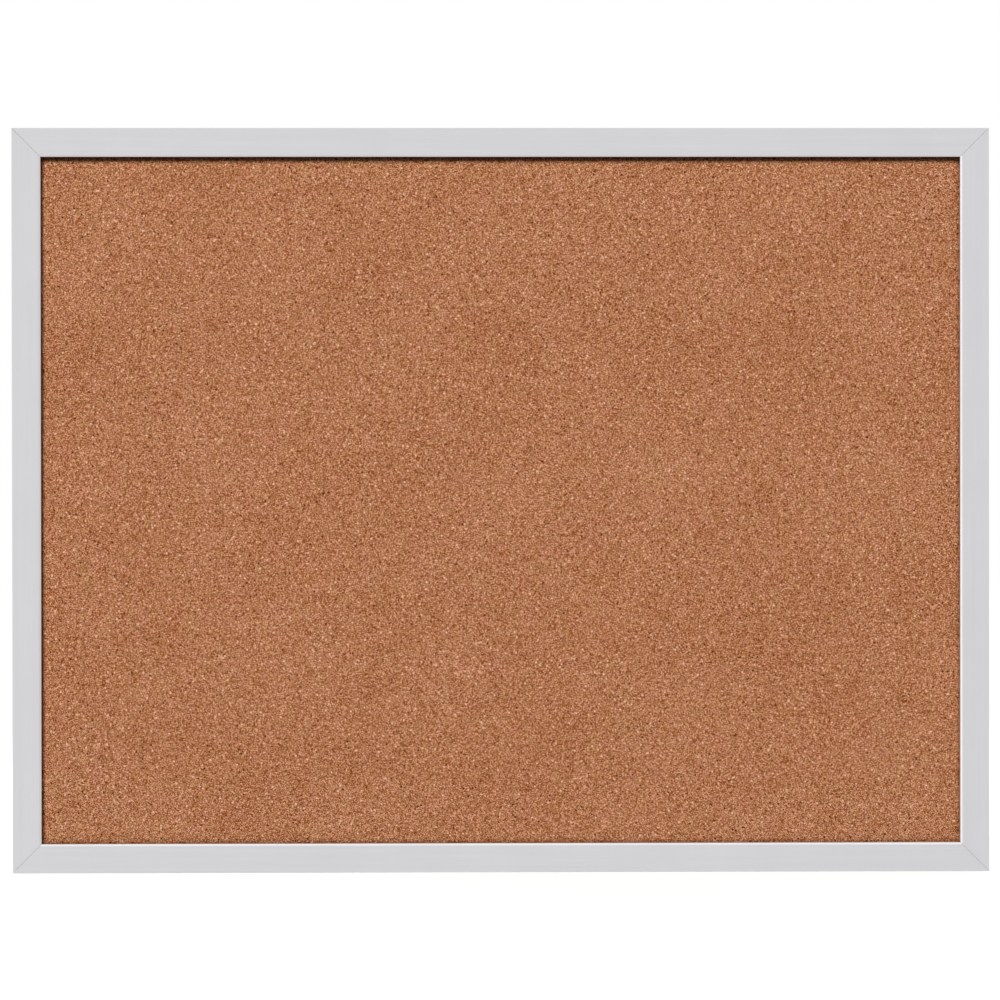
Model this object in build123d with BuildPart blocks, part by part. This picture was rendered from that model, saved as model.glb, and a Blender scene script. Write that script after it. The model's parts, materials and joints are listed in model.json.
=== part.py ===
"""A framed cork bulletin board, 600 x 457 mm, in a mitred aluminium section frame.

Frame of reference: +X to the right and +Z up for someone reading the board, whose cork face looks
along -Y. The origin is the centre of the wall plane, which the four rubber bumpers on the back touch.

Every rail has one cross-section, given by two local coordinates:
    u   from the frame's outer edge in towards the middle of the board
    v   from the frame's back plane forwards to the reader
Behind the face sits the pocket that holds the panel, and behind the pocket a channel, open to the
back along a slot. Steel corner plates and the hangers' clamp nuts sit in that channel.
"""

import math
import os

from build123d import *

# Whole board
board_width = 600.0
board_height = 457.0
wall_gap = 5.0  # height of the bumpers, and so the gap behind the frame

# Panel, back to front
kraft_thickness = 0.3
core_thickness = 5.0
cork_thickness = 2.5
panel_clearance = 0.5  # between the panel's edge and the rails' outer wall

# Rail cross-section
face_width = 17.7
face_thickness = 1.4
wall_thickness = 1.3
lip_depth = 5.0  # from the front face back to the cork
channel_wall = 1.2
channel_height = 3.2
channel_width = 12.4
web_thickness = 1.2
slot_width = 5.2
clip_gap = 1.8  # between the channel and the panel's back, filled by the bowed spring clips
front_edge_radius = 0.3
lip_bevel_width = 1.3
lip_bevel_depth = 0.8
bevel_front_radius = 1.0  # where the bevel meets the face
bevel_inner_radius = 0.3  # where the bevel meets the lip
back_edge_radius = 0.35
mitre_gap = 0.12  # hairline left between two mitred rails

# Corner plates and their set screws
plate_side_clearance = 0.3
plate_leg = 45.0  # from the frame's outer edges to the end of each leg
plate_corner_radius = 0.6
angle_thickness = 1.6
shim_thickness = 1.0
set_screw_from_corner = 30.0
set_screw_radius = 1.95
tapped_radius = 2.0
set_screw_recess = 0.2
driver_slot = 0.7

# Spring clips
clip_thickness = 0.5
clip_width = 12.0
clip_start = 2.6  # u of the buried end
clip_chord = 16.0
clip_tip_radius = 1.6
clip_tip_turn = 75.0
clip_clearance = 0.04
clip_spacing_wide = 200.0  # three clips on each horizontal rail
clip_spacing_high = 220.0  # two clips on each upright rail

# Hangers
hanger_height = 130.0  # z of the ring's hinge axis
slide_clearance = 0.05
strap_width = 9.0
strap_thickness = 0.9
strap_length = 24.0  # from the hinge axis down to the tail
strap_lap = 8.5  # how far the folded end comes back down
wire_radius = 1.1
barrel_clearance = 0.1
ring_half_width = 6.3
ring_corner_radius = 1.4
ring_side = 6.1  # from the hinge axis down to where the bow of the ring starts
screw_below_axis = 18.0
screw_radius = 1.95
screw_length = 5.0
screw_head_radius = 3.4
screw_head_height = 2.2
screw_clearance_radius = 2.15
recess_length = 3.6
recess_width = 0.9
recess_depth = 1.3
nut_width = 11.6
nut_length = 11.0
nut_thickness = 2.0

# Bumpers
bumper_radius = 6.0
bumper_taper = 8.0
bumper_edge_radius = 0.8

# Worked out from the above
half_width = board_width / 2
half_height = board_height / 2
channel_top = channel_wall + channel_height
pocket_back = channel_top + channel_wall
kraft_back = pocket_back + clip_gap
core_back = kraft_back + kraft_thickness
cork_back = core_back + core_thickness
cork_front = cork_back + cork_thickness
frame_depth = cork_front + lip_depth
web_inner = wall_thickness + channel_width
web_outer = web_inner + web_thickness
channel_centre = wall_thickness + channel_width / 2
slot_low = channel_centre - slot_width / 2
slot_high = channel_centre + slot_width / 2

os.makedirs("parts", exist_ok=True)


def level(v):
    """Plane parallel to the board at depth v, drawn with x to the right and y up; extrudes forwards."""
    return Plane.XZ.offset(wall_gap + v)


def keep(part, name):
    """Label one finished piece and write it to parts/."""
    part.label = name
    export_step(part, f"parts/{name}.step")


# Each rail's inward direction, running direction and length. Running x inward points to the reader.
rails = {
    "top": (Vector(0, 0, -1), Vector(-1, 0, 0), board_width),
    "bottom": (Vector(0, 0, 1), Vector(1, 0, 0), board_width),
    "left": (Vector(1, 0, 0), Vector(0, 0, -1), board_height),
    "right": (Vector(-1, 0, 0), Vector(0, 0, 1), board_height),
}
corners = {
    "top_left": (-1, 1),
    "top_right": (1, 1),
    "bottom_left": (-1, -1),
    "bottom_right": (1, -1),
}


def rail_plane(side, along=0.0):
    """Section plane of a rail, with x as u and y as v, at a distance along the rail from its middle."""
    inward, running, _ = rails[side]
    to_edge = half_height if side in ("top", "bottom") else half_width
    back_edge = inward * -to_edge + Vector(0, -wall_gap, 0)
    return Plane(origin=back_edge + running * along, x_dir=inward, z_dir=running)


# ---- Frame rails: one extruded section, cut to a mitre at both ends
def rail(side):
    inward, running, length = rails[side]
    section = [
        (0, 0),
        (0, frame_depth),
        (face_width - lip_bevel_width, frame_depth),
        (face_width, frame_depth - lip_bevel_depth),
        (face_width, cork_front),
        (face_width - wall_thickness, cork_front),
        (face_width - wall_thickness, frame_depth - face_thickness),
        (wall_thickness, frame_depth - face_thickness),
        (wall_thickness, pocket_back),
        (web_outer, pocket_back),
        (web_outer, 0),
        (slot_high, 0),
        (slot_high, channel_wall),
        (web_inner, channel_wall),
        (web_inner, channel_top),
        (wall_thickness, channel_top),
        (wall_thickness, channel_wall),
        (slot_low, channel_wall),
        (slot_low, 0),
    ]
    rounded = [
        ((0, frame_depth), front_edge_radius),
        ((face_width - lip_bevel_width, frame_depth), bevel_front_radius),
        ((face_width, frame_depth - lip_bevel_depth), bevel_inner_radius),
        ((face_width, cork_front), back_edge_radius),
        ((0, 0), back_edge_radius),
        ((web_outer, 0), back_edge_radius),
    ]
    with BuildPart() as body:
        with BuildSketch(rail_plane(side)) as profile:
            with BuildLine():
                Polyline(*section, close=True)
            make_face()
            for corner, radius in rounded:
                nearest = profile.vertices().sort_by_distance((*corner, 0))[0]
                fillet(nearest, radius=radius)
        extrude(amount=length / 2, both=True)
        for end in (-1, 1):
            outwards = running * end
            normal = (inward + outwards).normalized()
            corner_edge = rail_plane(side, along=end * length / 2).origin
            mitre = Plane(origin=corner_edge - normal * (mitre_gap / 2), z_dir=normal)
            split(bisect_by=mitre, keep=Keep.BOTTOM)
    return body.part


for side in rails:
    keep(rail(side), f"rail_{side}")


# ---- Corner plates: an L of steel with two tapped holes, and a plain shim in front of it
def corner_l(sx, sz, back, thickness, drilled):
    """L-shaped plate lying in the channels of two rails, its back face at depth back."""
    inset = wall_thickness + plate_side_clearance
    leg = plate_leg - inset
    width = channel_width - 2 * plate_side_clearance
    align = (Align.MAX if sx > 0 else Align.MIN, Align.MAX if sz > 0 else Align.MIN)
    with BuildPart() as plate:
        with BuildSketch(level(back)) as outline:
            with Locations((sx * (half_width - inset), sz * (half_height - inset))):
                Rectangle(leg, width, align=align)
                Rectangle(width, leg, align=align)
            fillet(outline.vertices(), radius=plate_corner_radius)
            if drilled:
                with Locations(*set_screw_places(sx, sz)):
                    Circle(tapped_radius, mode=Mode.SUBTRACT)
        extrude(amount=thickness)
    return plate.part


def set_screw_places(sx, sz):
    """Centres of the two set screws of one corner, on the middle lines of the two channels."""
    return [
        (sx * (half_width - set_screw_from_corner), sz * (half_height - channel_centre)),
        (sx * (half_width - channel_centre), sz * (half_height - set_screw_from_corner)),
    ]


def set_screws(sx, sz):
    """Two slotted set screws, from just inside the back plane to the shim."""
    length = channel_top - shim_thickness - set_screw_recess
    with BuildPart() as screws:
        with BuildSketch(level(set_screw_recess)):
            with Locations(*set_screw_places(sx, sz)):
                Circle(set_screw_radius)
        extrude(amount=length)
        chamfer(screws.edges().filter_by(GeomType.CIRCLE), length=0.3)
        with BuildSketch(level(set_screw_recess)):
            with Locations(*set_screw_places(sx, sz)):
                Rectangle(3 * set_screw_radius, driver_slot, rotation=35 * sx * sz)
        extrude(amount=driver_slot, mode=Mode.SUBTRACT)
    return screws.part


for corner, (sx, sz) in corners.items():
    shim_back = channel_top - shim_thickness
    keep(corner_l(sx, sz, channel_wall, angle_thickness, drilled=True), f"corner_angle_{corner}")
    keep(corner_l(sx, sz, shim_back, shim_thickness, drilled=False), f"corner_shim_{corner}")
    keep(set_screws(sx, sz), f"set_screws_{corner}")


# ---- Panel: cork, fibreboard core and kraft paper, each a full sheet
def panel_sheet(back, thickness):
    inset = wall_thickness + panel_clearance
    with BuildPart() as sheet:
        with BuildSketch(level(back)):
            Rectangle(board_width - 2 * inset, board_height - 2 * inset)
        extrude(amount=thickness)
    return sheet.part


keep(panel_sheet(kraft_back, kraft_thickness), "kraft_backing")
keep(panel_sheet(core_back, core_thickness), "fibreboard_core")
keep(panel_sheet(cork_back, cork_thickness), "cork_sheet")


# ---- Spring clips: bowed strips pushed between the channel and the panel, which they press forwards
def spring_clip(side, along):
    crown_v = pocket_back + clip_thickness / 2 + clip_clearance
    touch_v = kraft_back - clip_thickness / 2 - clip_clearance
    rise = touch_v - crown_v
    slope = 2 * math.atan(2 * rise / clip_chord)  # angle of the bow at its ends
    end_v = touch_v - clip_tip_radius * (1 - math.cos(slope))
    with BuildPart() as clip:
        with BuildSketch(rail_plane(side, along)):
            with BuildLine():
                bow = ThreePointArc(
                    (clip_start, end_v),
                    (clip_start + clip_chord / 2, crown_v),
                    (clip_start + clip_chord, end_v),
                )
                JernArc(
                    start=bow @ 1,
                    tangent=bow % 1,
                    radius=clip_tip_radius,
                    arc_size=-clip_tip_turn,
                )
            trace(line_width=clip_thickness)
        extrude(amount=clip_width / 2, both=True)
    return clip.part


for side in ("top", "bottom"):
    for number in (1, 2, 3):
        clip = spring_clip(side, along=(number - 2) * clip_spacing_wide)
        keep(clip, f"spring_clip_{side}_{number}")
for side in ("left", "right"):
    for number in (1, 2):
        clip = spring_clip(side, along=(number - 1.5) * clip_spacing_high)
        keep(clip, f"spring_clip_{side}_{number}")

# ---- Hangers: a folded strap with a hinged D-ring, clamped to the slot by a screw and a plate nut
barrel_bore = wire_radius + barrel_clearance
barrel_radius = barrel_bore + strap_thickness
strap_face = -slide_clearance  # v of the strap's face that lies on the rail
ring_v = strap_face - barrel_radius
ring_y = -wall_gap - ring_v
screw_z = hanger_height - screw_below_axis


def strap(x):
    """Strip folded round the ring's bar: a flat tail, with the folded end lapped on its upper part."""
    near = strap_face - strap_thickness
    lapped = strap_face - 2 * strap_thickness
    foot = strap_length - strap_width / 2
    with BuildPart() as body:
        with BuildSketch(level(near)):
            with Locations((x, hanger_height - foot / 2)):
                Rectangle(strap_width, foot)
            with Locations((x, hanger_height - foot)):
                Circle(strap_width / 2)
            with Locations((x, screw_z)):
                Circle(screw_clearance_radius, mode=Mode.SUBTRACT)
        extrude(amount=strap_thickness)
        # Section across the barrel and the lap, with x forwards from the wall plane and y up
        section = Plane(origin=(x, 0, 0), x_dir=(0, -1, 0), z_dir=(-1, 0, 0))
        with BuildSketch(section):
            with Locations((wall_gap + ring_v, hanger_height)):
                Circle(barrel_radius)
            with BuildLine():
                Polyline(
                    (wall_gap + strap_face, hanger_height),
                    (wall_gap + strap_face, hanger_height - strap_lap),
                    (wall_gap + lapped, hanger_height - strap_lap),
                    (wall_gap + lapped, hanger_height - 0.6 * strap_lap),
                    (wall_gap + ring_v - 0.8 * barrel_radius, hanger_height - 0.6 * barrel_radius),
                    (wall_gap + ring_v, hanger_height),
                    close=True,
                )
            make_face()
            with Locations((wall_gap + ring_v, hanger_height)):
                Circle(barrel_bore, mode=Mode.SUBTRACT)
        extrude(amount=strap_width / 2, both=True)
    return body.part


def ring(x):
    """D-ring of round wire, hanging from the strap's barrel."""
    side_x = ring_half_width
    bar_x = ring_half_width - ring_corner_radius
    with BuildPart() as wire:
        with BuildLine(level(ring_v)) as path:
            top = hanger_height
            bow_top = hanger_height - ring_side
            corner_low = hanger_height - ring_corner_radius
            Line((x - bar_x, top), (x + bar_x, top))
            RadiusArc((x + bar_x, top), (x + side_x, corner_low), ring_corner_radius)
            Line((x + side_x, corner_low), (x + side_x, bow_top))
            ThreePointArc(
                (x + side_x, bow_top),
                (x, bow_top - ring_half_width),
                (x - side_x, bow_top),
            )
            Line((x - side_x, bow_top), (x - side_x, corner_low))
            RadiusArc((x - side_x, corner_low), (x - bar_x, top), ring_corner_radius)
        start = Plane(origin=(x - bar_x, ring_y, hanger_height), z_dir=(1, 0, 0))
        with BuildSketch(start):
            Circle(wire_radius)
        sweep(path=path.wires()[0])
    return wire.part


def hanger_screw(x):
    """Pan-head screw with a cross recess, from its head on the strap into the channel."""
    head_v = strap_face - strap_thickness
    with BuildPart() as screw:
        with BuildSketch(level(head_v)):
            with Locations((x, screw_z)):
                Circle(screw_radius)
        extrude(amount=screw_length)
        with BuildSketch(level(head_v)):
            with Locations((x, screw_z)):
                Circle(screw_head_radius)
        extrude(amount=-screw_head_height)
        rim = screw.edges().filter_by(GeomType.CIRCLE).sort_by(Axis.Y)[-1]
        fillet(rim, radius=0.7 * screw_head_height)
        with BuildSketch(level(head_v - screw_head_height)):
            with Locations((x, screw_z)):
                Rectangle(recess_length, recess_width, rotation=20)
                Rectangle(recess_width, recess_length, rotation=20)
        extrude(amount=recess_depth, mode=Mode.SUBTRACT)
    return screw.part


def clamp_nut(x):
    """Plate nut behind the slot's two edges, inside the channel."""
    with BuildPart() as nut:
        with BuildSketch(level(channel_wall + slide_clearance)) as outline:
            with Locations((x, screw_z)):
                Rectangle(nut_width, nut_length)
            fillet(outline.vertices(), radius=1.0)
            with Locations((x, screw_z)):
                Circle(tapped_radius, mode=Mode.SUBTRACT)
        extrude(amount=nut_thickness)
    return nut.part


for side, sx in (("left", -1), ("right", 1)):
    middle = sx * (half_width - channel_centre)
    keep(strap(middle), f"hanger_strap_{side}")
    keep(ring(middle), f"hanger_ring_{side}")
    keep(hanger_screw(middle), f"hanger_screw_{side}")
    keep(clamp_nut(middle), f"hanger_nut_{side}")


# ---- Bumpers: tapered rubber discs stuck over the slots at the four corners
def bumper(sx, sz):
    place = (sx * (half_width - channel_centre), sz * (half_height - channel_centre))
    with BuildPart() as pad:
        with BuildSketch(level(0)):
            with Locations(place):
                Circle(bumper_radius)
        extrude(amount=-wall_gap, taper=bumper_taper)
        rim = pad.edges().filter_by(GeomType.CIRCLE).sort_by(Axis.Y)[-1]
        fillet(rim, radius=bumper_edge_radius)
    return pad.part


for corner, (sx, sz) in corners.items():
    keep(bumper(sx, sz), f"wall_bumper_{corner}")

print("frame depth", frame_depth, "ring axis y", ring_y, "screw z", screw_z)
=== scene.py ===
"""Looks of the framed cork bulletin board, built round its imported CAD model. Metres, the CAD's own frame:
+X right and +Z up for the reader, whose side is -Y; the origin lies on the wall plane behind the board.
"""

import json
import math

import bpy
import numpy as np
from mathutils import Matrix, Vector


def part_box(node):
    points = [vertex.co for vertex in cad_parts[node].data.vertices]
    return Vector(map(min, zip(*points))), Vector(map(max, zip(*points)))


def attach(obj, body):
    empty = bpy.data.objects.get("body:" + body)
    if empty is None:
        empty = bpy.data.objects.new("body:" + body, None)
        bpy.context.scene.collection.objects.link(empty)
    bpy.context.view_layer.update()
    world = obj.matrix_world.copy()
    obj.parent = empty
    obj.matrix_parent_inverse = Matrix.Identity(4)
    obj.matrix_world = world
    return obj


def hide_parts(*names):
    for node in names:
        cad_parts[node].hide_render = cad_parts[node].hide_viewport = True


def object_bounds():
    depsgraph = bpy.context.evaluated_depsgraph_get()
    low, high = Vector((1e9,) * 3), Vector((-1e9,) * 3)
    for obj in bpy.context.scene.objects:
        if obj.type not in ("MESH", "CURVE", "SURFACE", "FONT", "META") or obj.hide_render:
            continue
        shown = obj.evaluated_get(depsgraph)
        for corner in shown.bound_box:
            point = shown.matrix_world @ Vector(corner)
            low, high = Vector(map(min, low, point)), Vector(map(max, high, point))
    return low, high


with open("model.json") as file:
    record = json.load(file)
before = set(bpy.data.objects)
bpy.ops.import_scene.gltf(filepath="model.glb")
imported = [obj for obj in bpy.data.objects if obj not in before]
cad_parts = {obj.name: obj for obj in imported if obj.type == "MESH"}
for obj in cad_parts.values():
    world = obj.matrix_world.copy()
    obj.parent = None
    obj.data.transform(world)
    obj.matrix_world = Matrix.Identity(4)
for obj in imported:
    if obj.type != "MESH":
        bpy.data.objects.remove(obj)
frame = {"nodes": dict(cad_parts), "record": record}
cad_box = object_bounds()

MM = 0.001
SIDES = ("left", "right")

# Camera: a long lens square to the board, hardly off its axis
camera_distance = 2.5  # from the frame's face
camera_azimuth = -0.758  # degrees
camera_elevation = 0.369
camera_roll = -0.064
camera_aim = (-0.00079, 0.00010)  # x and z of the point looked at, on the frame's face
camera_lens = 146.6
camera_sensor = 36.0

# Key light: one big square soft box, far off, up and to the left of the reader
key_distance = 30.0
key_azimuth = -16.0  # degrees, negative to the left
key_elevation = 35.0
key_size = 12.0
key_white = 0.875  # brightness it gives a white board facing the reader

# Softer lights on the back of the board
back_light_distance = 3.0
back_lights = (  # name, azimuth, elevation, size, and brightness it gives a white board facing it
    ("back_key", 150.0, 35.0, 1.8, 0.8),
    ("back_fill", -145.0, 15.0, 2.5, 0.25),
)

# Studio round the board
sky_white = 1.0  # what the camera sees behind the board
sky_fill = 0.13  # what matt surfaces receive from all round
sky_mirror = 0.87  # what metal facing the reader mirrors
sky_panels = 0.68  # how much brighter it mirrors the panels overhead and to the left
sky_panel_rim = (0.45, 0.95)  # how far up or left a direction points where a panel starts, and is full
sky_front_rim = (0.0, -0.4)  # the same for its Y, as the panels are on the reader's side only
sky_slope = 0.06  # how much brighter than the middle the left is mirrored, and darker the right

# Floor, round the point under the board's middle
floor_radius = 6.0
floor_sides = 96
floor_drop = 0.1 * MM  # below the lowest rail
floor_fade = (0.45, 1.6)  # how far out it starts fading into the white behind, and ends
floor_glow = 0.42  # light of its own near the board

# Relief of the two sheets
cork_grid = 2.0 * MM
cork_waves = ((5.0 * MM, 0.65, 11), (14.0 * MM, 0.35, 12))  # wavelength, share of the unevenness, seed
cork_unevenness = 0.05 * MM
lip_dent = 0.9 * MM  # how deep the lips press the cork
lip_dent_reach = 1.8 * MM
lip_grid = (-1.0, 0.0, 0.4, 0.8, 1.3, 2.0, 3.0, 4.5)  # finer grid at a lip, in mm inside its edge
lip_grid_reach = (2.0 * MM, 6.0 * MM)  # how far outside and inside a lip the even grid stops
lip_shade = 0.22  # how much darker the cork's colour is painted at the lips, as painted shade
lip_shade_reach = 3.0 * MM
kraft_grid = 4.0 * MM
kraft_held = 30.0 * MM  # margin that lies flat on the core
kraft_freed = 45.0 * MM  # width next to it over which the paper comes free
kraft_cockle = 0.55 * MM


# ---- Node helpers
class Nodes:
    """Short calls for adding nodes to a node tree."""

    def __init__(self, tree):
        self.tree = tree

    def add(self, kind, **settings):
        node = self.tree.nodes.new(kind)
        for key, value in settings.items():
            setattr(node, key, value)
        return node

    def feed(self, socket, value):
        """Link an output to a socket, or set the socket to a plain value."""
        if isinstance(value, bpy.types.NodeSocket):
            self.tree.links.new(value, socket)
        else:
            socket.default_value = value

    def math(self, operation, *values):
        node = self.add("ShaderNodeMath", operation=operation)
        for socket, value in zip(node.inputs, values):
            self.feed(socket, value)
        return node.outputs[0]

    def spread(self, value, low, high, new_low=0.0, new_high=1.0, smooth=False):
        """Map low..high of a value to new_low..new_high, and hold it there outside."""
        node = self.add("ShaderNodeMapRange", interpolation_type="SMOOTHSTEP" if smooth else "LINEAR")
        for socket, number in zip(node.inputs, (value, low, high, new_low, new_high)):
            self.feed(socket, number)
        return node.outputs[0]

    def between(self, share, a, b):
        """The number that lies a share of the way from a to b."""
        node = self.add("ShaderNodeMix")
        for socket, value in zip((node.inputs[0], *node.inputs[2:4]), (share, a, b)):
            self.feed(socket, value)
        return node.outputs[0]


class Shader(Nodes):
    """A procedural material with one Principled shader."""

    def __init__(self, name, roughness=0.5, metallic=0.0, specular=0.5):
        self.material = bpy.data.materials.new(name)
        self.material.use_nodes = True
        super().__init__(self.material.node_tree)
        self.surface = self.tree.nodes["Principled BSDF"]
        self.surface.inputs["Roughness"].default_value = roughness
        self.surface.inputs["Metallic"].default_value = metallic
        self.surface.inputs["Specular IOR Level"].default_value = specular
        self.place = self.add("ShaderNodeTexCoord").outputs["Object"]

    def stretched(self, scale, turn=0.0):
        """The place on the piece, turned by degrees about Y, then multiplied by scale along each axis."""
        node = self.add("ShaderNodeMapping", vector_type="TEXTURE")
        self.feed(node.inputs["Vector"], self.place)
        node.inputs["Rotation"].default_value = (0.0, math.radians(turn), 0.0)
        node.inputs["Scale"].default_value = [1.0 / value for value in scale]
        return node.outputs["Vector"]

    def noise(self, size, place=None, detail=2.0, roughness=0.5, distortion=0.0):
        """Noise with lumps about size metres across, from 0 to 1."""
        node = self.add("ShaderNodeTexNoise")
        self.feed(node.inputs["Vector"], place or self.place)
        node.inputs["Scale"].default_value = 1.0 / size
        node.inputs["Detail"].default_value = detail
        node.inputs["Roughness"].default_value = roughness
        node.inputs["Distortion"].default_value = distortion
        return node

    def cells(self, size, place=None, feature="F1", randomness=1.0):
        """Voronoi cells about size metres across."""
        node = self.add("ShaderNodeTexVoronoi", feature=feature)
        self.feed(node.inputs["Vector"], place or self.place)
        node.inputs["Scale"].default_value = 1.0 / size
        node.inputs["Randomness"].default_value = randomness
        return node

    def vector(self, operation, *values):
        node = self.add("ShaderNodeVectorMath", operation=operation)
        for socket, value in zip(node.inputs, values):
            self.feed(socket, value)
        return node.outputs[0]

    def axes(self):
        """The three coordinates of the place on the piece."""
        node = self.add("ShaderNodeSeparateXYZ")
        self.feed(node.inputs[0], self.place)
        return node.outputs[:3]

    def channel(self, cells, number=0):
        """One channel of the random colour that each Voronoi cell has, from 0 to 1."""
        node = self.add("ShaderNodeSeparateColor")
        self.feed(node.inputs[0], cells.outputs["Color"])
        return node.outputs[number]

    def ramp(self, value, stops):
        """Colour ramp; stops are (position, linear colour)."""
        node = self.add("ShaderNodeValToRGB")
        elements = node.color_ramp.elements
        while len(elements) < len(stops):
            elements.new(0.5)
        for element, (position, colour) in zip(elements, stops):
            element.position = position
            element.color = (*colour, 1.0)
        self.feed(node.inputs[0], value)
        return node.outputs["Color"]

    def mix(self, share, a, b, blend="MIX"):
        """Blend colour b over colour a."""
        node = self.add("ShaderNodeMix", data_type="RGBA", blend_type=blend)
        self.feed(node.inputs[0], share)
        for socket, colour in ((node.inputs[6], a), (node.inputs[7], b)):
            self.feed(socket, colour if isinstance(colour, bpy.types.NodeSocket) else (*colour, 1.0))
        return node.outputs[2]

    def colour(self, value):
        self.feed(self.surface.inputs["Base Color"], value)

    def roughness(self, value):
        self.feed(self.surface.inputs["Roughness"], value)

    def bump(self, height, depth, after=None):
        """Relief of depth metres where height goes from 0 to 1; returns the normal for another layer."""
        node = self.add("ShaderNodeBump")
        node.inputs["Distance"].default_value = depth
        self.feed(node.inputs["Height"], height)
        if after is not None:
            self.feed(node.inputs["Normal"], after)
        self.feed(self.surface.inputs["Normal"], node.outputs[0])
        return node.outputs[0]


def linear(red, green, blue):
    """Linear colour of an 8-bit sRGB one."""
    shares = [value / 255 for value in (red, green, blue)]
    return tuple(s / 12.92 if s <= 0.04045 else ((s + 0.055) / 1.055) ** 2.4 for s in shares)


# ---- Materials
def cork(lip_left, lip_right, lip_bottom, lip_top):
    """Fine agglomerated cork: pressed granules of up to a millimetre, with dark bark and pale specks."""
    s = Shader("cork_granules", specular=0.04)
    drift = s.vector("SUBTRACT", s.noise(1.1 * MM, detail=3.0).outputs["Color"], (0.5, 0.5, 0.5))
    place = s.vector("MULTIPLY_ADD", drift, (0.25 * MM, 0.25 * MM, 0.25 * MM), s.place)

    coarse = s.cells(1.15 * MM, place)
    fine = s.cells(0.45 * MM, place)
    grain = s.noise(0.28 * MM, detail=2.0, roughness=0.6).outputs["Fac"]
    patch = s.noise(70 * MM, detail=3.0).outputs["Fac"]
    tone = s.math("MULTIPLY", s.channel(coarse), 0.03)
    tone = s.math("MULTIPLY_ADD", s.channel(fine), 0.97, tone)
    tone = s.math("MULTIPLY_ADD", grain, 0.03, tone)
    tone = s.math("MULTIPLY_ADD", s.math("SUBTRACT", patch, 0.5), 0.16, tone)
    colour = s.ramp(tone, [
        (0.08, linear(117, 49, 0)),
        (0.22, linear(141, 75, 32)),
        (0.36, linear(163, 101, 61)),
        (0.50, linear(179, 118, 78)),
        (0.64, linear(194, 135, 96)),
        (0.80, linear(213, 155, 120)),
        (0.92, linear(233, 179, 148)),
    ])
    ruddy = s.spread(s.noise(9 * MM, detail=3.0, roughness=0.6).outputs["Fac"], 0.35, 0.65)
    tint = s.mix(ruddy, (0.99, 1.0, 0.91), (1.02, 0.98, 0.99))
    colour = s.mix(1.0, colour, tint, blend="MULTIPLY")

    # Dark seams between granules, only here and there
    seam = s.cells(1.15 * MM, place, feature="DISTANCE_TO_EDGE").outputs["Distance"]
    seam = s.spread(seam, 0.02, 0.11, 1.0, 0.0, smooth=True)
    seam_where = s.spread(s.noise(2.2 * MM).outputs["Fac"], 0.46, 0.62)
    seam_depth = s.math("MULTIPLY", seam, seam_where)
    colour = s.mix(s.math("MULTIPLY", seam_depth, 0.60), colour, linear(96, 42, 8))

    # Bark and lenticels: dark bits of two sizes, and fewer pale ones
    for spacing, reach, dark_share, pale_share in (
        (1.3 * MM, 0.33, 0.24, 0.07),
        (4.0 * MM, 0.16, 0.60, 0.15),
    ):
        bits = s.cells(spacing, place)
        near = s.spread(bits.outputs["Distance"], 0.8 * reach, 1.15 * reach, 1.0, 0.0, smooth=True)
        kind = s.channel(bits, 1)
        dark = s.math("MULTIPLY", near, s.math("LESS_THAN", kind, dark_share))
        pale = s.math("MULTIPLY", near, s.math("GREATER_THAN", kind, 1.0 - pale_share))
        colour = s.mix(s.math("MULTIPLY", dark, 0.95), colour, linear(80, 24, 0))
        colour = s.mix(s.math("MULTIPLY", pale, 0.75), colour, linear(244, 200, 172))

    # Painted shade: the cork's colour is darkened towards the rails' lips, standing in for the shade the
    # lips cast
    x, _, z = s.axes()
    inside_x = s.math("MINIMUM", s.math("SUBTRACT", x, lip_left), s.math("SUBTRACT", lip_right, x))
    inside_z = s.math("MINIMUM", s.math("SUBTRACT", z, lip_bottom), s.math("SUBTRACT", lip_top, z))
    inside = s.math("MINIMUM", inside_x, inside_z)
    painted_lip_shade_share = s.spread(inside, 0.0, lip_shade_reach, lip_shade, 0.0, smooth=True)
    # painted shade colour mixed in along the lips
    s.colour(s.mix(painted_lip_shade_share, colour, linear(84, 34, 6)))

    s.roughness(s.spread(tone, 0.1, 0.9, 0.92, 0.72))
    height = s.spread(coarse.outputs["Distance"], 0.0, 0.7, 1.0, 0.0, smooth=True)
    height = s.math("MULTIPLY_ADD", grain, 0.5, height)
    height = s.math("SUBTRACT", height, s.math("MULTIPLY", seam_depth, 0.6))
    s.bump(height, 0.09 * MM)
    return s.material


def anodised_aluminium(name, along):
    """Satin anodised extrusion with faint die lines along the rail."""
    s = Shader(name, roughness=0.42, metallic=1.0)
    fine = [1.0, 1.0, 1.0]
    fine[along] = 0.004
    lines = s.noise(0.30 * MM, s.stretched(fine), detail=3.0, roughness=0.6).outputs["Fac"]
    broad = [1.0, 1.0, 1.0]
    broad[along] = 0.02
    bands = s.noise(2.4 * MM, s.stretched(broad), detail=2.0).outputs["Fac"]
    cloud = s.noise(30 * MM, detail=3.0).outputs["Fac"]
    speckle = s.noise(0.16 * MM, detail=1.0).outputs["Fac"]
    tone = s.math("MULTIPLY", lines, 0.35)
    tone = s.math("MULTIPLY_ADD", bands, 0.30, tone)
    tone = s.math("MULTIPLY_ADD", cloud, 0.25, tone)
    tone = s.math("MULTIPLY_ADD", speckle, 0.10, tone)
    s.colour(s.ramp(tone, [(0.25, linear(221, 220, 223)), (0.75, linear(233, 232, 234))]))
    s.roughness(s.spread(tone, 0.25, 0.75, 0.46, 0.38))
    normal = s.bump(lines, 0.004 * MM)
    s.bump(speckle, 0.0015 * MM, normal)
    return s.material


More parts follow.
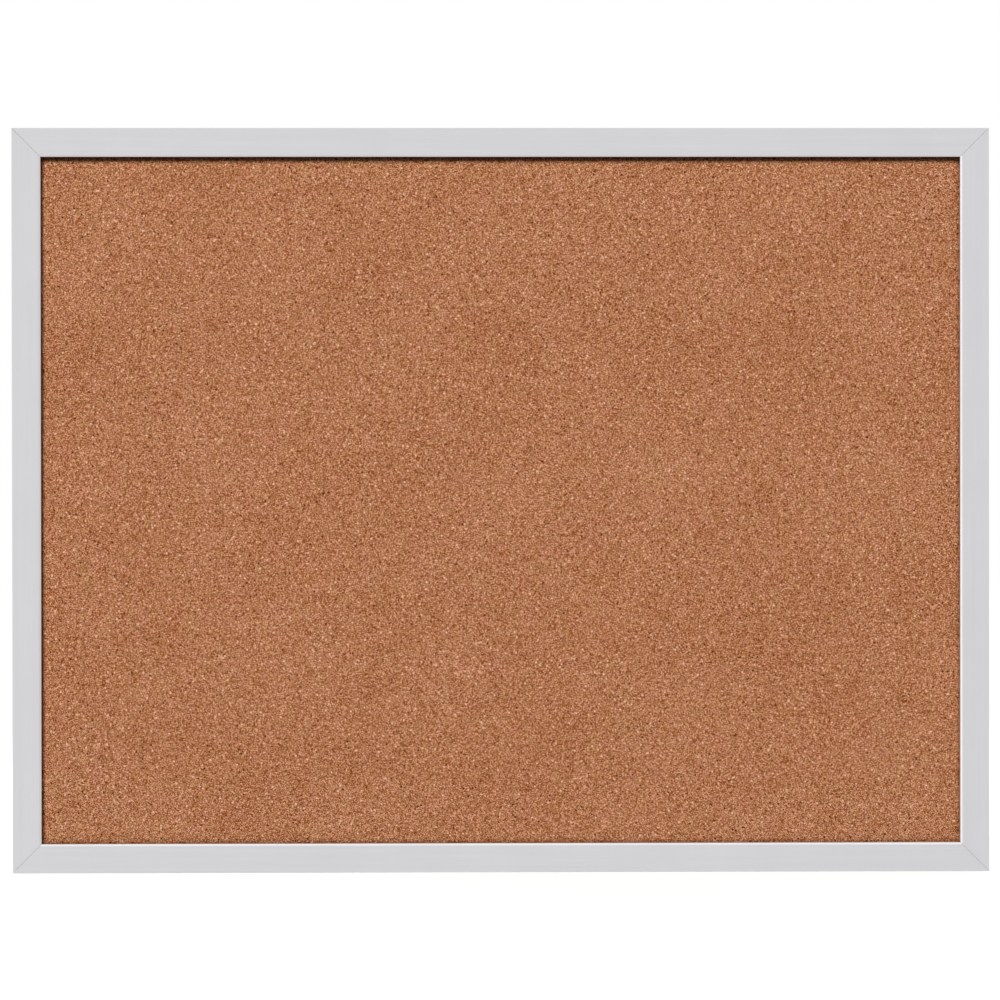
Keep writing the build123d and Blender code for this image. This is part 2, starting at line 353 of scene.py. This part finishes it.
def plated_steel(name, base, roughness, mottle, mottle_size, scratches):
    """Plated or blackened steel: cloudy plating with fine scratches both ways."""
    s = Shader(name, roughness=roughness, metallic=1.0)
    cloud = s.noise(mottle_size, detail=4.0, roughness=0.6).outputs["Fac"]
    one_way = s.noise(0.25 * MM, s.stretched((1.0, 1.0, 0.03)), detail=2.0).outputs["Fac"]
    other_way = s.noise(0.25 * MM, s.stretched((0.03, 1.0, 1.0)), detail=2.0).outputs["Fac"]
    marks = s.math("MULTIPLY", s.math("ADD", one_way, other_way), 0.5)
    dark = tuple(c * (1.0 - mottle) for c in base)
    light = tuple(min(1.0, c * (1.0 + 0.5 * mottle)) for c in base)
    s.colour(s.ramp(s.math("MULTIPLY_ADD", marks, 0.3, s.math("MULTIPLY", cloud, 0.7)),
                    [(0.3, dark), (0.7, light)]))
    s.roughness(s.spread(cloud, 0.3, 0.7, roughness + 0.07, roughness - 0.07))
    s.bump(marks, scratches)
    return s.material


def kraft():
    """Brown kraft paper: cloudy stock with short fibres every way, and faint lines along the roll."""
    s = Shader("kraft_fibres", roughness=0.8, specular=0.2)
    cloud = s.noise(7 * MM, detail=5.0, roughness=0.65).outputs["Fac"]
    fibre = 0.0
    for turn in (-78.0, -47.0, 12.0, 66.0):
        way = s.stretched((0.28, 1.0, 1.0), turn)
        layer = s.noise(0.38 * MM, way, detail=3.0, roughness=0.65, distortion=1.2).outputs["Fac"]
        fibre = s.math("MULTIPLY_ADD", layer, 0.25, fibre)
    lines = s.noise(2.4 * MM, s.stretched((1.0, 1.0, 0.01)), detail=1.0).outputs["Fac"]
    tone = s.math("MULTIPLY", cloud, 0.18)
    tone = s.math("MULTIPLY_ADD", fibre, 0.74, tone)
    tone = s.math("MULTIPLY_ADD", lines, 0.08, tone)
    colour = s.ramp(tone, [
        (0.38, linear(160, 123, 86)),
        (0.50, linear(187, 151, 111)),
        (0.62, linear(207, 175, 137)),
    ])
    strands = s.noise(0.9 * MM, s.stretched((0.12, 1.0, 1.0)), detail=2.0, distortion=2.0).outputs["Fac"]
    strands = s.spread(strands, 0.70, 0.78, smooth=True)
    s.colour(s.mix(s.math("MULTIPLY", strands, 0.30), colour, linear(122, 88, 56)))
    s.roughness(s.spread(fibre, 0.35, 0.65, 0.88, 0.74))
    s.bump(fibre, 0.04 * MM)
    return s.material


def fibreboard():
    """Soft fibreboard: matted wood fibre."""
    s = Shader("fibreboard_matting", roughness=0.95, specular=0.2)
    fibre = s.noise(0.9 * MM, s.stretched((0.35, 1.0, 0.6)), detail=5.0, roughness=0.7, distortion=0.6)
    clumps = s.noise(5 * MM, detail=3.0).outputs["Fac"]
    tone = s.math("MULTIPLY_ADD", clumps, 0.3, s.math("MULTIPLY", fibre.outputs["Fac"], 0.7))
    s.colour(s.ramp(tone, [(0.3, linear(112, 84, 56)), (0.7, linear(166, 134, 98))]))
    s.bump(fibre.outputs["Fac"], 0.15 * MM)
    return s.material


def grey_rubber():
    """Moulded rubber: matt, finely pebbled, with a dusty bloom."""
    s = Shader("rubber_pebble", roughness=0.7, specular=0.4)
    pebble = s.cells(0.35 * MM).outputs["Distance"]
    bloom = s.noise(3 * MM, detail=3.0).outputs["Fac"]
    s.colour(s.ramp(bloom, [(0.3, linear(58, 58, 60)), (0.7, linear(84, 84, 86))]))
    s.roughness(s.spread(bloom, 0.3, 0.7, 0.62, 0.80))
    s.bump(pebble, 0.02 * MM)
    return s.material


# ---- Meshes
def smooth_field(xs, zs, wavelength, seed):
    """Random heights over a grid of places, in waves about wavelength metres long, from about -1 to 1."""
    random = np.random.default_rng(seed)
    pitch = wavelength / 3
    columns = math.ceil((xs[-1] - xs[0]) / pitch) + 8
    rows = math.ceil((zs[-1] - zs[0]) / pitch) + 8
    field = np.fft.rfft2(random.standard_normal((rows, columns)))
    down = np.fft.fftfreq(rows, pitch)[:, None]
    across = np.fft.rfftfreq(columns, pitch)[None, :]
    field *= np.exp(-0.5 * (down ** 2 + across ** 2) * (0.75 * wavelength) ** 2)
    field[0, 0] = 0.0
    heights = np.fft.irfft2(field, s=(rows, columns))
    heights /= 2.5 * heights.std()
    along_x = np.array([np.interp((xs - xs[0]) / pitch, range(columns), row) for row in heights])
    return np.array([np.interp((zs - zs[0]) / pitch, range(rows), column) for column in along_x.T]).T


def sheet_mesh(name, node, xs, zs, front_rise, back_rise=None):
    """A closed sheet that fills a CAD node's box, gridded at xs and zs on the faces that have relief.

    front_rise and back_rise are heights in metres added outwards at each grid point of a face. A face
    with no relief is one flat polygon."""
    low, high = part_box(node)
    rows, columns = len(zs), len(xs)
    grid_x, grid_z = np.meshgrid(xs, zs)
    index = np.arange(rows * columns).reshape(rows, columns)
    quads = np.stack([index[:-1, :-1], index[:-1, 1:], index[1:, 1:], index[1:, :-1]], axis=-1)
    quads = quads.reshape(-1, 4)
    front = np.stack([grid_x, low.y - front_rise, grid_z], axis=-1).reshape(-1, 3)
    ring = np.concatenate([index[0, :-1], index[:-1, -1], index[-1, :0:-1], index[:0:-1, 0]])
    if back_rise is None:
        back = front[ring].copy()
        back[:, 1] = high.y
        back_ring = len(front) + np.arange(len(ring))
        back_faces = [list(back_ring[::-1])]
    else:
        back = np.stack([grid_x, high.y + back_rise, grid_z], axis=-1).reshape(-1, 3)
        back_ring = ring + len(front)
        back_faces = [list(face) for face in quads[:, ::-1] + len(front)]
    following = np.roll(np.arange(len(ring)), -1)
    edges = np.stack([ring, back_ring, back_ring[following], ring[following]], axis=-1)
    mesh = bpy.data.meshes.new(name)
    faces = [list(face) for face in quads] + [list(face) for face in edges] + back_faces
    mesh.from_pydata(np.concatenate([front, back]).tolist(), [], faces)
    mesh.update()
    smooth = np.zeros(len(faces), dtype=bool)
    smooth[:len(quads)] = True
    if back_rise is not None:
        smooth[-len(quads):] = True
    mesh.polygons.foreach_set("use_smooth", smooth)
    piece = bpy.data.objects.new(name, mesh)
    bpy.context.scene.collection.objects.link(piece)
    return piece


def grid_lines(low, high, pitch, lip_low=None, lip_high=None):
    """Evenly spaced places from low to high, closer together just inside the rails' lips if given."""
    places = np.linspace(low, high, round((high - low) / pitch) + 1)
    if lip_low is None:
        return places
    outside, inside = lip_grid_reach
    clear = places[(places < lip_low - outside) | (places > lip_high + outside)
                   | ((places > lip_low + inside) & (places < lip_high - inside))]
    near = np.array(lip_grid) * MM
    return np.sort(np.concatenate([clear, lip_low + near, lip_high - near]))


def cork_panel():
    """The cork sheet, a little uneven and pressed down along the lips, and never above the CAD sheet."""
    low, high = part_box("cork_sheet")
    lip_left, lip_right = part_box("rail_left")[1].x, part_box("rail_right")[0].x
    lip_bottom, lip_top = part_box("rail_bottom")[1].z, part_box("rail_top")[0].z
    xs = grid_lines(low.x, high.x, cork_grid, lip_left, lip_right)
    zs = grid_lines(low.z, high.z, cork_grid, lip_bottom, lip_top)
    relief = sum(share * smooth_field(xs, zs, wave, seed) for wave, share, seed in cork_waves)
    inside_x = np.minimum(xs - lip_left, lip_right - xs)[None, :]
    inside_z = np.minimum(zs - lip_bottom, lip_top - zs)[:, None]
    inside = np.maximum(np.minimum(inside_x, inside_z), 0.0)
    rise = cork_unevenness * (np.clip(relief, -1.5, 1.5) - 1.5)
    rise -= lip_dent * np.exp(-inside / lip_dent_reach)
    piece = sheet_mesh("cork_panel", "cork_sheet", xs, zs, rise)
    piece.data.materials.append(cork(lip_left, lip_right, lip_bottom, lip_top))
    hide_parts("cork_sheet")
    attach(piece, "frame")


def kraft_sheet():
    """The kraft paper, lifted from the core in shallow cockles away from its held edges."""
    low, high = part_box("kraft_backing")
    xs = grid_lines(low.x, high.x, kraft_grid)
    zs = grid_lines(low.z, high.z, kraft_grid)
    inset_x = np.minimum(xs - low.x, high.x - xs)[None, :]
    inset_z = np.minimum(zs - low.z, high.z - zs)[:, None]
    free = np.clip((np.minimum(inset_x, inset_z) - kraft_held) / kraft_freed, 0.0, 1.0)
    free = free * free * (3.0 - 2.0 * free)
    cockle = np.clip(smooth_field(xs, zs, 60 * MM, seed=21), 0.0, 1.5)
    ripple = np.clip(smooth_field(xs, zs, 20 * MM, seed=22), 0.0, 1.5)
    lift = kraft_cockle * free * (cockle + 0.25 * ripple)
    piece = sheet_mesh("kraft_sheet", "kraft_backing", xs, zs, -lift, lift)
    piece.data.materials.append(kraft())
    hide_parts("kraft_backing")
    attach(piece, "frame")


def dress(node, material):
    """Give a CAD node its material."""
    piece = frame["nodes"][node]
    piece.data.materials.clear()
    piece.data.materials.append(material)


def dress_all():
    x_rails = anodised_aluminium("anodised_aluminium_x", along=0)
    z_rails = anodised_aluminium("anodised_aluminium_z", along=2)
    zinc = plated_steel("zinc_plate", linear(205, 208, 212), 0.38, 0.16, 1.8 * MM, 0.006 * MM)
    black = plated_steel("black_oxide", linear(66, 66, 70), 0.45, 0.20, 0.8 * MM, 0.006 * MM)
    spring = plated_steel("spring_temper", linear(150, 156, 168), 0.34, 0.15, 2.5 * MM, 0.008 * MM)
    nickel = plated_steel("nickel_plate", linear(222, 217, 208), 0.24, 0.06, 2.0 * MM, 0.003 * MM)
    by_slot = {
        "zinc_plated_steel": zinc,
        "black_oxide_steel": black,
        "spring_steel": spring,
        "nickel_plated_steel": nickel,
        "grey_rubber": grey_rubber(),
        "fibreboard": fibreboard(),
    }
    for row in frame["record"]["subparts"]:
        if row["material_slot"] in by_slot:
            dress(row["node"], by_slot[row["material_slot"]])
    for side in ("top", "bottom"):
        dress(f"rail_{side}", x_rails)
    for side in SIDES:
        dress(f"rail_{side}", z_rails)


# ---- Studio
def aimed(place, target):
    """Matrix of a light or camera at place that looks at target, its top up."""
    turn = (Vector(target) - Vector(place)).to_track_quat("-Z", "Y")
    return Matrix.Translation(place) @ turn.to_matrix().to_4x4()


def around(target, distance, azimuth, elevation):
    """A point at a distance from target, by degrees to the right of the reader's axis and up."""
    turn, tilt = math.radians(azimuth), math.radians(elevation)
    way = Vector((math.sin(turn) * math.cos(tilt), -math.cos(turn) * math.cos(tilt), math.sin(tilt)))
    return Vector(target) + distance * way


def soft_box(name, distance, azimuth, elevation, size, white):
    """Area light aimed at the board's middle and not mirrored; white that faces it gets that bright."""
    middle = (0.0, 0.0, 0.0)
    light = bpy.data.lights.new(name, "AREA")
    light.size = size
    light.energy = white * (math.pi * distance) ** 2
    lamp = bpy.data.objects.new(name, light)
    lamp.matrix_world = aimed(around(middle, distance, azimuth, elevation), middle)
    lamp.visible_camera = False
    lamp.visible_glossy = False
    bpy.context.scene.collection.objects.link(lamp)


def sky():
    """White to the camera, dim to matt surfaces, and to metal a studio with two bright panels."""
    world = bpy.data.worlds.new("studio")
    world.use_nodes = True
    n = Nodes(world.node_tree)
    path = n.add("ShaderNodeLightPath").outputs
    way = n.add("ShaderNodeSeparateXYZ")
    n.feed(way.inputs[0], n.add("ShaderNodeTexCoord").outputs["Generated"])
    left = n.math("MULTIPLY", way.outputs["X"], -1.0)
    lit_side = n.math("MAXIMUM", left, way.outputs["Z"])
    panels = n.spread(lit_side, *sky_panel_rim, 0.0, sky_panels, smooth=True)
    front = n.spread(way.outputs["Y"], *sky_front_rim, smooth=True)
    panels = n.math("MULTIPLY_ADD", panels, front, 1.0)
    slope = n.spread(left, -1.0, 1.0, 1.0 - sky_slope, 1.0 + sky_slope)
    studio = n.math("MULTIPLY", n.math("MULTIPLY", panels, slope), sky_mirror)
    seen_directly = n.math("LESS_THAN", path["Diffuse Depth"], 0.5)
    in_mirror = n.math("MULTIPLY", path["Is Glossy Ray"], seen_directly)
    around_board = n.between(in_mirror, sky_fill, studio)
    background = n.tree.nodes["Background"].inputs
    n.feed(background["Color"], (1.0, 1.0, 1.0, 1.0))
    n.feed(background["Strength"], n.between(path["Is Camera Ray"], around_board, sky_white))
    bpy.context.scene.world = world


def floor():
    """Pale floor under the board that fades into the white behind; it isn't seen from below."""
    low, _ = cad_box
    mesh = bpy.data.meshes.new("floor")
    turns = [2 * math.pi * i / floor_sides for i in range(floor_sides)]
    rim = [(floor_radius * math.cos(t), floor_radius * math.sin(t), low[2] - floor_drop) for t in turns]
    mesh.from_pydata(rim, [], [list(range(floor_sides))])
    ground = bpy.data.objects.new("floor", mesh)
    bpy.context.scene.collection.objects.link(ground)
    ground.visible_diffuse = False
    ground.visible_glossy = False

    s = Shader("pale_floor", roughness=0.9, specular=0.1)
    distance = s.add("ShaderNodeVectorMath", operation="LENGTH")
    s.feed(distance.inputs[0], s.place)
    far = s.spread(distance.outputs["Value"], *floor_fade, smooth=True)
    tint = s.noise(0.4, detail=2.0).outputs["Fac"]
    paint = s.spread(tint, 0.3, 0.7, 0.78, 0.82)
    grey = s.add("ShaderNodeCombineColor")
    for socket in grey.inputs:
        s.feed(socket, paint)
    s.colour(s.mix(far, grey.outputs[0], (0.0, 0.0, 0.0)))
    s.feed(s.surface.inputs["Emission Color"], (1.0, 1.0, 1.0, 1.0))
    s.feed(s.surface.inputs["Emission Strength"], s.spread(far, 0.0, 1.0, floor_glow, 1.0))
    from_below = s.add("ShaderNodeNewGeometry").outputs["Backfacing"]
    clear = s.add("ShaderNodeBsdfTransparent").outputs[0]
    either = s.add("ShaderNodeMixShader")
    for socket, value in zip(either.inputs, (from_below, s.surface.outputs[0], clear)):
        s.feed(socket, value)
    s.feed(s.tree.nodes["Material Output"].inputs["Surface"], either.outputs[0])
    mesh.materials.append(s.material)


def camera():
    low, _ = cad_box
    aim = Vector((camera_aim[0], low[1], camera_aim[1]))
    data = bpy.data.cameras.new("reader")
    data.lens = camera_lens
    data.sensor_width = camera_sensor
    data.clip_start = 0.01
    reader = bpy.data.objects.new("reader", data)
    place = around(aim, camera_distance, camera_azimuth, camera_elevation)
    reader.matrix_world = aimed(place, aim) @ Matrix.Rotation(math.radians(camera_roll), 4, "Z")
    bpy.context.scene.collection.objects.link(reader)
    bpy.context.scene.camera = reader


cork_panel()
kraft_sheet()
dress_all()
camera()
sky()
floor()
key_facing = math.cos(math.radians(key_azimuth)) * math.cos(math.radians(key_elevation))
soft_box("key", key_distance, key_azimuth, key_elevation, key_size, key_white / key_facing)
for name, azimuth, elevation, size, white in back_lights:
    soft_box(name, back_light_distance, azimuth, elevation, size, white)
bpy.context.scene.view_settings.view_transform = "Standard"
